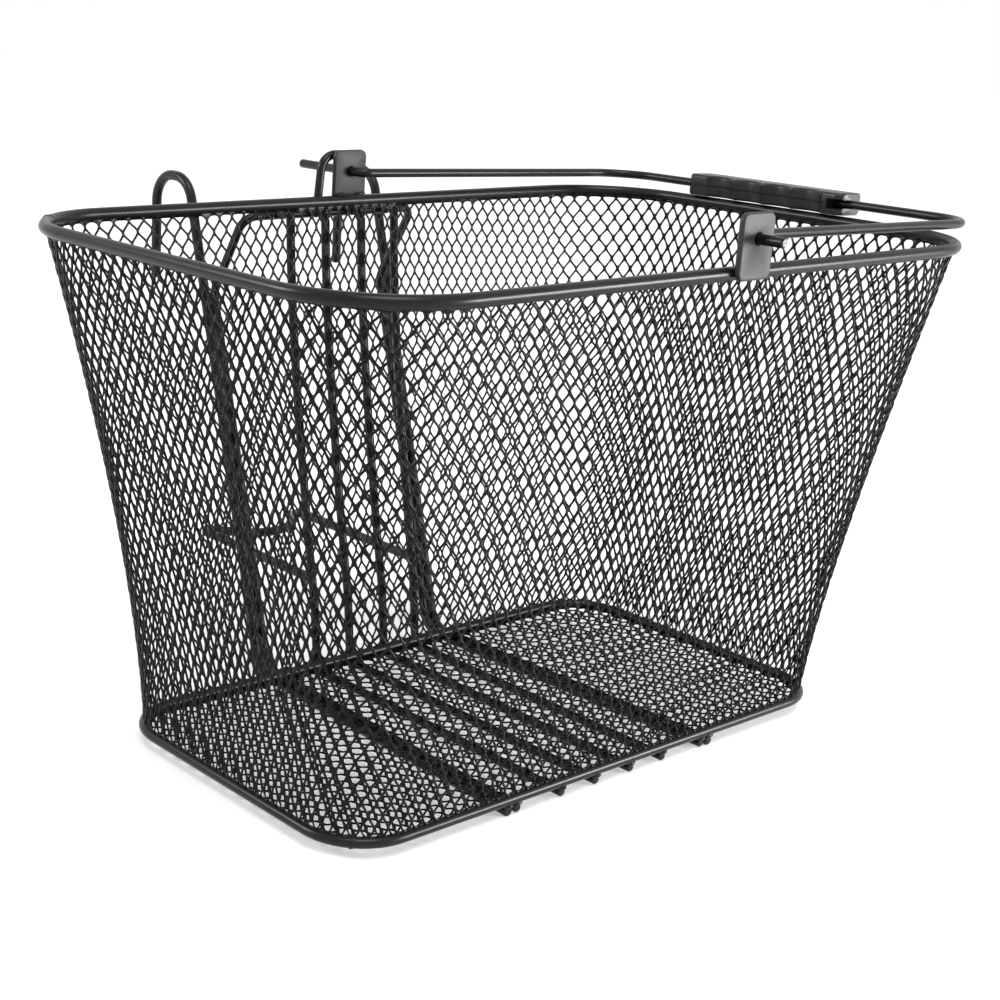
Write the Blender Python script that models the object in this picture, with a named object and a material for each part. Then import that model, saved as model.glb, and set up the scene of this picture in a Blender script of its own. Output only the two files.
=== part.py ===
"""Lift-off mesh basket that hangs on a bicycle handlebar, with a folding wire bail.

The basket stands on its floor wires, +Z up. The long side lies along X, and the hooks
face +Y. The bail lies folded towards +X with its grip on the end of the top rim.
"""
import math

import bpy
from mathutils import Matrix, Vector

# Rims: lengths, widths and corner radii are taken at the centre of the rod
TOP_LENGTH = 0.37
TOP_WIDTH = 0.2343
TOP_CORNER = 0.0476
TOP_ROD = 0.0055
BOTTOM_LENGTH = 0.2981
BOTTOM_WIDTH = 0.1607
BOTTOM_CORNER = 0.027
BOTTOM_ROD = 0.0048
RIM_SPACING = 0.2188
FLARE = 1.45

# Support wires behind and under the basket
FRAME_WIRE = 0.0042
HOOK_WIRE = 0.0048
SEAM_GAP = 0.0003
CENTRE_RIB_X = 0.0111
OUTER_RIB_X = 0.0322
RIB_START_SHARE = 0.12
RIB_SPANS = 3
RIB_TOP_BELOW_RIM = 0.0044
FRAME_X = 0.0525
HOOK_X = 0.0578
FRAME_FRONT_X = 0.0587
HOOK_FRONT_X = 0.064

# Hooks for the handlebar
HOOK_TOP_ABOVE_RIM = 0.0074
HOOK_LEG_OUT = 0.0759
HOOK_LEG_BELOW_RIM = 0.0439
HOOK_BEND = 0.0135
STEM_TOP_OUT = 0.0467
STEM_FOOT_OUT = 0.0185
STEM_BEND = 0.0127

# Struts and cross bar that join the stems behind the top rim
STRUT_DROP = 0.0455
STRUT_BEND = 0.0074
BAR_OUT = 0.0109
BAR_DROP = 0.0066

# Cradle that rests against the head tube
CRADLE_HEIGHT = 0.0407
CRADLE_REACH = 0.1882
CRADLE_DIP = 0.0359
CRADLE_TUBE_BEND = 0.0233
CRADLE_CORNER_BEND = 0.0032

# Tabs that carry the bail, and the lifting loop behind the rear one
TAB_WIDTH = 0.019
TAB_THICKNESS = 0.0026
TAB_ABOVE_RIM = 0.0235
TAB_CORNER = 0.0032
PIVOT_ABOVE_RIM = 0.0135
PIVOT_PLAY = 0.0005
PIVOT_X = 0.0048
LOOP_KINK_FOOT = 0.0095
LOOP_KINK_TOP = 0.0026
LOOP_ABOVE_RIM = 0.0211
LOOP_TOP_X = 0.009
LOOP_BEND = 0.008

# Bail
BAIL_WIRE = 0.0042
BAIL_FOOT_Y = 0.1126
BAIL_REAR_CORNER_Y = 0.1105
BAIL_FRONT_CORNER_Y = 0.1041
BAIL_REACH = 0.1839
BAIL_BEND = 0.0233
BAIL_PIVOT_BEND = 0.0063
BAIL_REAR_STUB = 0.0354
BAIL_FRONT_STUB = 0.0124

# Grip: thickness is taken square to the folded bail, depth along it
GRIP_LENGTH = 0.092
GRIP_THICKNESS = 0.0106
GRIP_DEPTH = 0.0169
GRIP_SHIFT = 0.0111
GRIP_BORE_PLAY = 0.0003
GRIP_BLOCK = 0.0106
GRIP_FINGERS = 4
FINGER_STEPS = 6
GRIP_FINGER_DEPTH = 0.0027
GRIP_EDGE = 0.0023

# Mesh: strand sizes of the coarse net that stands for the expanded metal
MESH_THICKNESS = 0.0017
MESH_BORDER = 0.0032
NODE_SHARE = 0.095
LONG_SIDE_COLUMNS = 8
SHORT_SIDE_COLUMNS = 4
CORNER_HALF_COLUMNS = 2
HALF_ROWS = 6
FLOOR_CELL_X = 0.0317
FLOOR_CELL_Y = 0.0592
FLOOR_STRAND = 0.003
FLOOR_BORDER = 0.0037
SMALLEST_HOLE_SHARE = 1 / 16

# Facets of the round wires and arcs
WIRE_SIDES = 8
ROD_SIDES = 10
BEND_STEPS = 5
SHARP_ANGLE = 50

# Heights above the ground, from the wires up
FLAT_SHARE = math.cos(math.pi / WIRE_SIDES)
HOOK_FLOOR_Z = HOOK_WIRE / 2 * FLAT_SHARE
BOTTOM_Z = HOOK_FLOOR_Z + HOOK_WIRE / 2 + SEAM_GAP + BOTTOM_ROD / 2
TOP_Z = BOTTOM_Z + RIM_SPACING
FRAME_FLOOR_Z = BOTTOM_Z - BOTTOM_ROD / 2 - SEAM_GAP - FRAME_WIRE / 2
RIB_STANDOFF = BOTTOM_ROD / 2 + SEAM_GAP + FRAME_WIRE / 2
PIVOT_Z = TOP_Z + PIVOT_ABOVE_RIM
TAB_FACE_Y = TOP_WIDTH / 2 + TOP_ROD / 2 + SEAM_GAP
GRIP_Z = TOP_Z + TOP_ROD / 2 + SEAM_GAP + GRIP_THICKNESS / 2
FRONT_END_Y = -(BOTTOM_WIDTH + BOTTOM_ROD) / 2

# The origin is under the middle of the whole part
LEFT_END = -(TOP_LENGTH + TOP_ROD) / 2
RIGHT_END = PIVOT_X + BAIL_REACH + GRIP_DEPTH / 2
REAR_END = TOP_WIDTH / 2 + HOOK_LEG_OUT + HOOK_WIRE / 2 * FLAT_SHARE
FRONT_END = -(TAB_FACE_Y + TAB_THICKNESS + BAIL_FRONT_STUB)
ORIGIN_SHIFT = (-(LEFT_END + RIGHT_END) / 2, -(REAR_END + FRONT_END) / 2, 0)


def clear_scene():
    for item in list(bpy.data.objects):
        bpy.data.objects.remove(item, do_unlink=True)


def make_material(name, colour, roughness, metallic):
    material = bpy.data.materials.new(name)
    material.use_nodes = True
    shader = material.node_tree.nodes["Principled BSDF"]
    shader.inputs["Base Color"].default_value = (*colour, 1.0)
    shader.inputs["Roughness"].default_value = roughness
    shader.inputs["Metallic"].default_value = metallic
    material.diffuse_color = (*colour, 1.0)
    return material


def make_empty(name, place, parent=None):
    empty = bpy.data.objects.new(name, None)
    empty.location = place
    empty.parent = parent
    bpy.context.scene.collection.objects.link(empty)
    return empty


def make_object(name, points, faces, finish, parent):
    """A mesh object whose points are given in the basket's own frame."""
    mesh = bpy.data.meshes.new(name)
    mesh.from_pydata([tuple(point) for point in points], [], faces)
    mesh.update()
    part = bpy.data.objects.new(name, mesh)
    bpy.context.scene.collection.objects.link(part)
    coat(part, finish)
    part.parent = parent
    mesh.shade_smooth()
    mesh.set_sharp_from_angle(angle=math.radians(SHARP_ANGLE))
    return part


def coat(part, finish):
    """Give a part a material of its own in the named finish."""
    colour, roughness, metallic = finish
    part.data.materials.append(make_material(part.name + "_finish", colour, roughness, metallic))


# Wires


def rounded_path(corners, closed=False):
    """Path through corners given as (x, y, z, bend radius)."""
    path = []
    count = len(corners)
    for index, corner in enumerate(corners):
        point = Vector(corner[:3])
        radius = corner[3]
        is_end = not closed and index in (0, count - 1)
        if is_end or radius == 0:
            path.append(point)
            continue
        before = (Vector(corners[index - 1][:3]) - point).normalized()
        after = (Vector(corners[(index + 1) % count][:3]) - point).normalized()
        half_angle = before.angle(after) / 2
        centre = point + (before + after).normalized() * radius / math.sin(half_angle)
        start = point + before * radius / math.tan(half_angle) - centre
        axis = start.cross(point + after * radius / math.tan(half_angle) - centre)
        turn = math.pi - 2 * half_angle
        for step in range(BEND_STEPS + 1):
            path.append(centre + Matrix.Rotation(turn * step / BEND_STEPS, 3, axis) @ start)
    return path


def span_directions(path, closed):
    count = len(path)
    spans = count if closed else count - 1
    return [(path[(index + 1) % count] - path[index]).normalized() for index in range(spans)]


def wire_points(path, diameter, sides, across, closed):
    """Rings of points round a path, mitred at each bend, with flats square to across."""
    directions = span_directions(path, closed)
    side = across - directions[0] * across.dot(directions[0])
    side_vectors = [side.normalized()]
    for previous, following in zip(directions, directions[1:]):
        side_vectors.append(previous.rotation_difference(following) @ side_vectors[-1])
    points = []
    for index, place in enumerate(path):
        arriving = directions[index - 1] if closed or index > 0 else directions[0]
        span = min(index, len(directions) - 1)
        leaving = directions[span]
        mitre = (arriving + leaving).normalized()
        u = side_vectors[span]
        v = leaving.cross(u)
        for corner in range(sides):
            angle = 2 * math.pi * (corner + 0.5) / sides
            offset = (u * math.cos(angle) + v * math.sin(angle)) * diameter / 2
            points.append(place + offset - leaving * offset.dot(mitre) / leaving.dot(mitre))
    return points


def wire_faces(rings, sides, closed):
    faces = []
    for ring in range(rings if closed else rings - 1):
        here = ring * sides
        there = (ring + 1) % rings * sides
        for corner in range(sides):
            beside = (corner + 1) % sides
            faces.append((here + corner, here + beside, there + beside, there + corner))
    if not closed:
        faces.append(tuple(reversed(range(sides))))
        faces.append(tuple(range((rings - 1) * sides, rings * sides)))
    return faces


def make_wire(name, path, diameter, finish, parent, across, sides=WIRE_SIDES, closed=False):
    points = wire_points(path, diameter, sides, Vector(across), closed)
    faces = wire_faces(len(path), sides, closed)
    return make_object(name, points, faces, finish, parent)


def make_rim(name, length, width, corner, height, rod, finish, parent):
    corners = [
        (x_sign * length / 2, y_sign * width / 2, height, corner)
        for x_sign, y_sign in ((1, -1), (1, 1), (-1, 1), (-1, -1))
    ]
    path = rounded_path(corners, closed=True)
    return make_wire(name, path, rod, finish, parent, (0, 0, 1), ROD_SIDES, closed=True)


# Walls and floor of expanded metal


def flare(height_share):
    """How far the wall has opened from the bottom rim to the top rim."""
    return max(height_share, 0) ** FLARE


def wall_height(height_share):
    low = BOTTOM_Z + BOTTOM_ROD / 2 + SEAM_GAP
    high = TOP_Z - TOP_ROD / 2 - SEAM_GAP
    return low + (high - low) * height_share


def rear_wall_y(height_share):
    return (BOTTOM_WIDTH + (TOP_WIDTH - BOTTOM_WIDTH) * flare(height_share)) / 2


def side_point(station, columns, length, width, corner):
    """Place and outward direction on one side, from the middle of one corner to the next."""
    straight = length / 2 - corner
    last = 2 * columns + 2 * CORNER_HALF_COLUMNS
    from_corner = station / CORNER_HALF_COLUMNS
    to_corner = (last - station) / CORNER_HALF_COLUMNS
    if from_corner < 1:
        angle = -math.pi / 4 * (1 - from_corner)
        middle = -straight
    elif to_corner < 1:
        angle = math.pi / 4 * (1 - to_corner)
        middle = straight
    else:
        angle = 0
        middle = straight * ((station - CORNER_HALF_COLUMNS) / columns - 1)
    along = middle + corner * math.sin(angle)
    out = width / 2 - corner + corner * math.cos(angle)
    return Vector((along, -out)), Vector((math.sin(angle), -math.cos(angle)))


class WallNet:
    """Diamond net for one wall, built as two matching skins joined at every edge."""

    def __init__(self, columns, top_sizes, bottom_sizes, turn):
        self.columns = columns
        self.top_sizes = top_sizes
        self.bottom_sizes = bottom_sizes
        self.turn = Matrix.Rotation(turn, 3, "Z")
        self.stations = 2 * columns + 2 * CORNER_HALF_COLUMNS
        self.points = []
        self.index_of = {}
        self.sheet = []

    def point(self, station, row):
        """Index of the outer skin's point at a station and row; the inner skin's follows it."""
        key = (round(station, 6), round(row, 6))
        if key in self.index_of:
            return self.index_of[key]
        border_row = MESH_BORDER / (wall_height(1) - wall_height(0))
        share = border_row + row / HALF_ROWS * (1 - 2 * border_row)
        top, out = side_point(station, self.columns, *self.top_sizes)
        bottom, out = side_point(station, self.columns, *self.bottom_sizes)
        place = bottom + (top - bottom) * flare(share)
        middle = Vector((place.x, place.y, wall_height(share)))
        step = Vector((out.x, out.y, 0)) * MESH_THICKNESS / 2
        self.index_of[key] = len(self.points)
        self.points.append(self.turn @ (middle + step))
        self.points.append(self.turn @ (middle - step))
        return self.index_of[key]

    def add(self, corners):
        self.sheet.append([self.point(*corner) for corner in corners])

    def add_node(self, station, row):
        """The diamond where strands meet, cut off at the ends of the wall."""
        spokes = [
            (station, row - NODE_SHARE),
            (station + NODE_SHARE, row),
            (station, row + NODE_SHARE),
            (station - NODE_SHARE, row),
        ]
        inside = [spoke for spoke in spokes if self.is_inside(*spoke)]
        middle = (station, row)
        corners = []
        for spoke in spokes:
            if spoke in inside:
                corners.append(spoke)
            elif len(inside) == 2 and middle not in corners:
                corners.append(middle)
        self.add(corners)

    def is_inside(self, station, row):
        return 0 <= station <= self.stations and 0 <= row <= HALF_ROWS

    def add_strand(self, station, row, lean):
        """The strand that climbs from a node to the next row, leaning one way."""
        start = [(station + lean * NODE_SHARE, row), (station, row + NODE_SHARE)]
        end = [(station + lean * (1 - NODE_SHARE), row + 1), (station + lean, row + 1 - NODE_SHARE)]
        corners = start + end
        self.add(corners if lean < 0 else corners[::-1])

    def add_border(self, row, outer_row):
        stops = [0]
        for station in range(0, self.stations + 1, 2):
            stops += [station - NODE_SHARE, station + NODE_SHARE]
        stops = [0] + stops[2:-1] + [self.stations]
        for near, far in zip(stops, stops[1:]):
            corners = [(near, row), (far, row), (far, outer_row), (near, outer_row)]
            self.add(corners if outer_row > row else corners[::-1])

    def build_sheet(self):
        for row in range(HALF_ROWS + 1):
            for station in range(row % 2, self.stations + 1, 2):
                self.add_node(station, row)
                if row < HALF_ROWS and station < self.stations:
                    self.add_strand(station, row, 1)
                if row < HALF_ROWS and station > 0:
                    self.add_strand(station, row, -1)
        border = MESH_BORDER / (wall_height(1) - wall_height(0))
        border_rows = border * HALF_ROWS / (1 - 2 * border)
        self.add_border(HALF_ROWS, HALF_ROWS + border_rows)
        self.add_border(0, -border_rows)

    def faces(self):
        """Both skins, and an edge face wherever the sheet ends."""
        faces = [tuple(face) for face in self.sheet]
        faces += [tuple(index + 1 for index in reversed(face)) for face in self.sheet]
        edges = {(a, b) for face in self.sheet for a, b in zip(face, face[1:] + face[:1])}
        open_edges = sorted(edge for edge in edges if edge[::-1] not in edges)
        faces += [(b, a, a + 1, b + 1) for a, b in open_edges]
        return faces


def make_wall(name, is_long, turn, finish, parent):
    top_sizes = (TOP_LENGTH, TOP_WIDTH, TOP_CORNER)
    bottom_sizes = (BOTTOM_LENGTH, BOTTOM_WIDTH, BOTTOM_CORNER)
    columns = LONG_SIDE_COLUMNS
    if not is_long:
        top_sizes = (TOP_WIDTH, TOP_LENGTH, TOP_CORNER)
        bottom_sizes = (BOTTOM_WIDTH, BOTTOM_LENGTH, BOTTOM_CORNER)
        columns = SHORT_SIDE_COLUMNS
    net = WallNet(columns, top_sizes, bottom_sizes, turn)
    net.build_sheet()
    return make_object(name, net.points, net.faces(), finish, parent)


def clip_to_convex(polygon, boundary):
    """The part of a convex polygon that lies inside a convex anticlockwise boundary."""
    for start, end in zip(boundary, boundary[1:] + boundary[:1]):
        edge = end - start
        normal = Vector((-edge.y, edge.x)).normalized()
        kept = []
        for here, there in zip(polygon, polygon[1:] + polygon[:1]):
            here_depth = (here - start).dot(normal)
            there_depth = (there - start).dot(normal)
            if here_depth >= 0:
                kept.append(here)
            if here_depth * there_depth < 0:
                kept.append(here.lerp(there, here_depth / (here_depth - there_depth)))
        polygon = kept
        if len(polygon) < 3:
            return []
    return polygon


def polygon_area(polygon):
    pairs = zip(polygon, polygon[1:] + polygon[:1])
    return sum(a.x * b.y - b.x * a.y for a, b in pairs) / 2


def rounded_rectangle(length, width, corner):
    """Anticlockwise outline round the origin."""
    outline = []
    for x_sign, y_sign, start in ((1, -1, -90), (1, 1, 0), (-1, 1, 90), (-1, -1, 180)):
        middle = Vector((x_sign * (length / 2 - corner), y_sign * (width / 2 - corner)))
        for step in range(BEND_STEPS + 1):
            angle = math.radians(start + 90 * step / BEND_STEPS)
            outline.append(middle + Vector((math.cos(angle), math.sin(angle))) * corner)
    return outline


def make_plate(name, outline, holes, thickness, finish, parent):
    """Flat plate with holes, drawn in its own XY plane about its middle."""
    curve = bpy.data.curves.new(name, "CURVE")
    curve.dimensions = "2D"
    curve.fill_mode = "BOTH"
    curve.extrude = thickness / 2
    for loop in [outline] + holes:
        spline = curve.splines.new("POLY")
        spline.points.add(len(loop) - 1)
        spline.use_cyclic_u = True
        for point, place in zip(spline.points, loop):
            point.co = (place.x, place.y, 0, 1)
    plate = bpy.data.objects.new(name, curve)
    bpy.context.scene.collection.objects.link(plate)
    coat(plate, finish)
    plate.parent = parent
    return plate


def floor_holes(boundary, smallest):
    half_x = FLOOR_CELL_X / 2
    half_y = FLOOR_CELL_Y / 2
    slant = math.hypot(half_x, half_y)
    hole_x = half_x - FLOOR_STRAND * slant / (2 * half_y)
    hole_y = half_y - FLOOR_STRAND * slant / (2 * half_x)
    columns = math.ceil(BOTTOM_LENGTH / FLOOR_CELL_X)
    rows = math.ceil(BOTTOM_WIDTH / FLOOR_CELL_Y)
    holes = []
    for row in range(-rows, rows + 1):
        for column in range(-columns, columns + 1):
            if (row + column) % 2:
                continue
            middle = Vector((column * half_x, row * half_y))
            diamond = [
                middle + Vector(step)
                for step in ((hole_x, 0), (0, hole_y), (-hole_x, 0), (0, -hole_y))
            ]
            hole = clip_to_convex(diamond, boundary)
            if hole and polygon_area(hole) > smallest:
                holes.append(hole)
    return holes


def make_floor(finish, parent):
    """Expanded metal floor that lies inside the bottom rim on the floor wires."""
    inset = BOTTOM_ROD / 2 + SEAM_GAP
    length = BOTTOM_LENGTH - 2 * inset
    width = BOTTOM_WIDTH - 2 * inset
    corner = BOTTOM_CORNER - inset
    outline = rounded_rectangle(length, width, corner)
    border = FLOOR_BORDER
    inner = rounded_rectangle(length - 2 * border, width - 2 * border, corner - border)
    smallest = FLOOR_CELL_X * FLOOR_CELL_Y * SMALLEST_HOLE_SHARE
    floor = make_plate("floor_mesh", outline, floor_holes(inner, smallest), MESH_THICKNESS,
                       finish, parent)
    top_of_wires = max(HOOK_FLOOR_Z + HOOK_WIRE / 2, FRAME_FLOOR_Z + FRAME_WIRE / 2)
    floor.location = (0, 0, top_of_wires + SEAM_GAP + MESH_THICKNESS / 2)
    return floor


# Support frame


def rib_corners(x, top_share):
    """Wire that runs under the floor and up the outside of the rear wall."""
    clear = MESH_THICKNESS / 2 + SEAM_GAP + FRAME_WIRE / 2
    corners = [
        (x, FRONT_END_Y, FRAME_FLOOR_Z, 0),
        (x, BOTTOM_WIDTH / 2 + RIB_STANDOFF, FRAME_FLOOR_Z, RIB_STANDOFF),
    ]
    for step in range(RIB_SPANS + 1):
        share = RIB_START_SHARE + (top_share - RIB_START_SHARE) * step / RIB_SPANS
        corners.append((x, rear_wall_y(share) + clear, wall_height(share), 0))
    return corners


def share_at(height):
    return (height - wall_height(0)) / (wall_height(1) - wall_height(0))


def make_outer_rib(name, side, finish, parent):
    path = rounded_path(rib_corners(side * OUTER_RIB_X, share_at(TOP_Z - RIB_TOP_BELOW_RIM)))
    return make_wire(name, path, FRAME_WIRE, finish, parent, (1, 0, 0))


def make_centre_loop(finish, parent):
    """One wire: up the wall, out past the rim and over behind the rear tab, then down again."""
    loop_y = TAB_FACE_Y + TAB_THICKNESS + SEAM_GAP + FRAME_WIRE / 2
    left = rib_corners(-CENTRE_RIB_X, share_at(TOP_Z - LOOP_KINK_FOOT))
    left.append((-CENTRE_RIB_X, loop_y, TOP_Z - LOOP_KINK_TOP, 0))
    left.append((-LOOP_TOP_X, loop_y, TOP_Z + LOOP_ABOVE_RIM, LOOP_BEND))
    right = [(-x, y, z, radius) for x, y, z, radius in reversed(left)]
    return make_wire("centre_loop", rounded_path(left + right), FRAME_WIRE, finish, parent,
                     (1, 0, 0))


def stem_y(height):
    """Y of the leaning stems at a height."""
    share = (height - HOOK_FLOOR_Z) / (TOP_Z - HOOK_FLOOR_Z)
    foot = BOTTOM_WIDTH / 2 + STEM_FOOT_OUT
    return foot + (TOP_WIDTH / 2 + STEM_TOP_OUT - foot) * share


def make_hook(name, side, finish, parent):
    """Hook wire: splayed under the floor, up the stem, over the handlebar and down."""
    x = side * HOOK_X
    hook_top = TOP_Z + HOOK_TOP_ABOVE_RIM
    leg_y = TOP_WIDTH / 2 + HOOK_LEG_OUT
    corners = [
        (side * HOOK_FRONT_X, FRONT_END_Y, HOOK_FLOOR_Z, 0),
        (x, BOTTOM_WIDTH / 2, HOOK_FLOOR_Z, 0),
        (x, stem_y(HOOK_FLOOR_Z), HOOK_FLOOR_Z, STEM_BEND),
        (x, stem_y(hook_top), hook_top, HOOK_BEND),
        (x, leg_y, hook_top, HOOK_BEND),
        (x, leg_y, TOP_Z - HOOK_LEG_BELOW_RIM, 0),
    ]
    return make_wire(name, rounded_path(corners), HOOK_WIRE, finish, parent, (1, 0, 0))


def make_frame_bow(finish, parent):
    """One wire beside both stems, with struts up to a cross bar behind the top rim."""
    strut_z = TOP_Z - STRUT_DROP
    left = [
        (-FRAME_FRONT_X, FRONT_END_Y, FRAME_FLOOR_Z, 0),
        (-FRAME_X, BOTTOM_WIDTH / 2, FRAME_FLOOR_Z, 0),
        (-FRAME_X, stem_y(FRAME_FLOOR_Z), FRAME_FLOOR_Z, STEM_BEND),
        (-FRAME_X, stem_y(strut_z), strut_z, STRUT_BEND),
        (-FRAME_X, TOP_WIDTH / 2 + BAR_OUT, TOP_Z - BAR_DROP, STRUT_BEND),
    ]
    right = [(-x, y, z, radius) for x, y, z, radius in reversed(left)]
    path = rounded_path(left + right)
    return make_wire("frame_bow", path, FRAME_WIRE, finish, parent, (1, 0, 0))


def make_cradle(finish, parent):
    """Loop that stands off the outer ribs and rests against the head tube."""
    height = BOTTOM_Z + CRADLE_HEIGHT
    rib_face = rear_wall_y(share_at(height)) + MESH_THICKNESS / 2 + SEAM_GAP + FRAME_WIRE
    left = [
        (-OUTER_RIB_X, rib_face + 2 * SEAM_GAP, height, 0),
        (-OUTER_RIB_X, CRADLE_REACH, height, CRADLE_CORNER_BEND),
    ]
    right = [(-x, y, z, radius) for x, y, z, radius in reversed(left)]
    dip = [(0, CRADLE_REACH - CRADLE_DIP, height, CRADLE_TUBE_BEND)]
    path = rounded_path(left + dip + right)
    return make_wire("head_tube_cradle", path, HOOK_WIRE, finish, parent, (0, 0, 1))


# Bail and its tabs


def make_tab(name, side, finish, parent):
    """Upright plate outside the rim with the pivot hole of the bail."""
    bottom = TOP_Z - TOP_ROD / 2 + SEAM_GAP
    top = TOP_Z + TAB_ABOVE_RIM
    middle = (bottom + top) / 2
    outline = rounded_rectangle(TAB_WIDTH, top - bottom, TAB_CORNER)
    radius = BAIL_WIRE / 2 + PIVOT_PLAY
    sides = 2 * WIRE_SIDES
    hole = [
        Vector((math.cos(2 * math.pi * k / sides), math.sin(2 * math.pi * k / sides))) * radius
        + Vector((0, PIVOT_Z - middle))
        for k in range(sides)
    ]
    tab = make_plate(name, outline, [hole], TAB_THICKNESS, finish, parent)
    tab.rotation_euler = (math.pi / 2, 0, 0)
    tab.location = (PIVOT_X, side * (TAB_FACE_Y + TAB_THICKNESS / 2), middle)
    return tab


def bail_slope():
    """Angle of the folded bail below the level."""
    return math.asin((PIVOT_Z - GRIP_Z) / BAIL_REACH)


def make_bail(finish, pivot):
    """Wire bow in the pivot's frame: stubs along Y, arms along the folded direction."""
    tab_out = TAB_FACE_Y + TAB_THICKNESS
    arm = Matrix.Rotation(bail_slope(), 3, "Y")
    flat = [
        (0, tab_out + BAIL_REAR_STUB, 0, 0),
        (0, BAIL_FOOT_Y, 0, BAIL_PIVOT_BEND),
        (BAIL_REACH, BAIL_REAR_CORNER_Y, 0, BAIL_BEND),
        (BAIL_REACH, -BAIL_FRONT_CORNER_Y, 0, BAIL_BEND),
        (0, -BAIL_FOOT_Y, 0, BAIL_PIVOT_BEND),
        (0, -(tab_out + BAIL_FRONT_STUB), 0, 0),
    ]
    corners = [(*(arm @ Vector(corner[:3])), corner[3]) for corner in flat]
    across = arm @ Vector((0, 0, 1))
    return make_wire("bail", rounded_path(corners), BAIL_WIRE, finish, pivot, across)


def grip_inner_depth(place):
    """Depth of the grip on its finger side at a place along it."""
    fluted = GRIP_LENGTH / 2 - GRIP_BLOCK
    half = GRIP_DEPTH / 2
    if abs(place) >= fluted:
        return half
    wave = math.sin(math.pi * GRIP_FINGERS * (place + fluted) / (2 * fluted)) ** 2
    return half - GRIP_FINGER_DEPTH * wave


def grip_section(place):
    """Outline of the grip at a place along it, as (depth, thickness) pairs."""
    inner = grip_inner_depth(place)
    outer = GRIP_DEPTH / 2
    half = GRIP_THICKNESS / 2
    edge = GRIP_EDGE
    return [
        (outer, 0), (outer, half - edge), (outer - edge, half), (0, half),
        (edge - inner, half), (-inner, half - edge), (-inner, 0), (-inner, edge - half),
        (edge - inner, -half), (0, -half), (outer - edge, -half), (outer, edge - half),
    ]


def make_grip(finish, pivot):
    """Moulded grip round the cross part of the bail, finger dents towards the pivot."""
    fluted = GRIP_LENGTH / 2 - GRIP_BLOCK
    steps = FINGER_STEPS * GRIP_FINGERS
    places = [-GRIP_LENGTH / 2] + [fluted * (2 * k / steps - 1) for k in range(steps + 1)]
    places.append(GRIP_LENGTH / 2)
    arm = Matrix.Rotation(bail_slope(), 3, "Y")
    bore = BAIL_WIRE / 2 + GRIP_BORE_PLAY
    sides = len(grip_section(0))
    points = []
    for place in places:
        for depth, height in grip_section(place):
            points.append(arm @ Vector((BAIL_REACH + depth, place + GRIP_SHIFT, height)))
    rings = len(places)
    for place in (places[0], places[-1]):
        for corner in range(sides):
            angle = 2 * math.pi * corner / sides
            reach = BAIL_REACH + bore * math.cos(angle)
            points.append(arm @ Vector((reach, place + GRIP_SHIFT, bore * math.sin(angle))))
    front_bore = rings * sides
    rear_bore = front_bore + sides
    faces = []
    for corner in range(sides):
        beside = (corner + 1) % sides
        for ring in range(rings - 1):
            here = ring * sides
            there = here + sides
            faces.append((here + beside, here + corner, there + corner, there + beside))
        last = (rings - 1) * sides
        faces.append((corner, beside, front_bore + beside, front_bore + corner))
        faces.append((last + beside, last + corner, rear_bore + corner, rear_bore + beside))
        faces.append((front_bore + corner, front_bore + beside, rear_bore + beside,
                      rear_bore + corner))
    return make_object("grip", points, faces, finish, pivot)


def build():
    clear_scene()
    coated_steel = ((0.018, 0.018, 0.020), 0.38, 0.0)
    moulded_plastic = ((0.030, 0.030, 0.032), 0.45, 0.0)
    basket = make_empty("basket", ORIGIN_SHIFT)
    pivot = make_empty("bail_pivot", (PIVOT_X, 0, PIVOT_Z), basket)
    make_rim("top_rim", TOP_LENGTH, TOP_WIDTH, TOP_CORNER, TOP_Z, TOP_ROD, coated_steel, basket)
    make_rim("bottom_rim", BOTTOM_LENGTH, BOTTOM_WIDTH, BOTTOM_CORNER, BOTTOM_Z, BOTTOM_ROD,
             coated_steel, basket)
    make_wall("front_mesh", True, 0, coated_steel, basket)
    make_wall("right_mesh", False, math.pi / 2, coated_steel, basket)
    make_wall("rear_mesh", True, math.pi, coated_steel, basket)
    make_wall("left_mesh", False, -math.pi / 2, coated_steel, basket)
    make_floor(coated_steel, basket)
    make_outer_rib("left_rib", -1, coated_steel, basket)
    make_outer_rib("right_rib", 1, coated_steel, basket)
    make_centre_loop(coated_steel, basket)
    make_frame_bow(coated_steel, basket)
    make_hook("left_hook", -1, coated_steel, basket)
    make_hook("right_hook", 1, coated_steel, basket)
    make_cradle(coated_steel, basket)
    make_tab("front_tab", -1, coated_steel, basket)
    make_tab("rear_tab", 1, coated_steel, basket)
    make_bail(coated_steel, pivot)
    make_grip(moulded_plastic, pivot)


build()
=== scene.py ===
"""Looks of the lift-off bicycle basket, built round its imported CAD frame.

The walls and floor are expanded metal whose strands keep one length, so that the openings
are wider and shorter where the sheet is spread at the corners. The long walls stand fuller
between the rims than their CAD nodes do, and the ribs, the loop and the cradle's ends follow
them. The other pieces are finer versions of their CAD nodes in the same place, and weld beads
are added.
"""
import math

import bpy
import numpy as np
from mathutils import Matrix, Vector


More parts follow.
